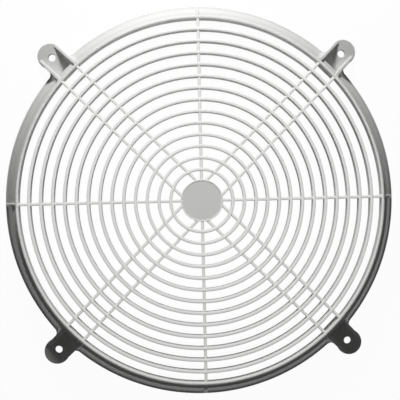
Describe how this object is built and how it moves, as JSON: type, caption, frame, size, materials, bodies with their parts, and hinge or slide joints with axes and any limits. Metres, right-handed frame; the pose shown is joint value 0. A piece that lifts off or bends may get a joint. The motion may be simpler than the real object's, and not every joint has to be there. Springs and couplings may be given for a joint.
{
  "type": "fan cover",
  "caption": "Round moulded fan cover: a flat grille of concentric rings on single and paired spokes, a hollow sloping rim and screw lugs on the diagonals.",
  "frame": {"origin": "centre of the plane in which the rim's foot and the screw lugs lie on the panel", "axes": "+Z points out of the front of the grille, away from the panel; the single spokes lie along X and Y, and the screw lugs on the diagonals"},
  "size_m": [0.428, 0.428, 0.028],
  "materials": {
    "moulded_plastic": "satin"
  },
  "bodies": {
    "root": {"fan_cover": "moulded_plastic"}
  },
  "joints": []
}
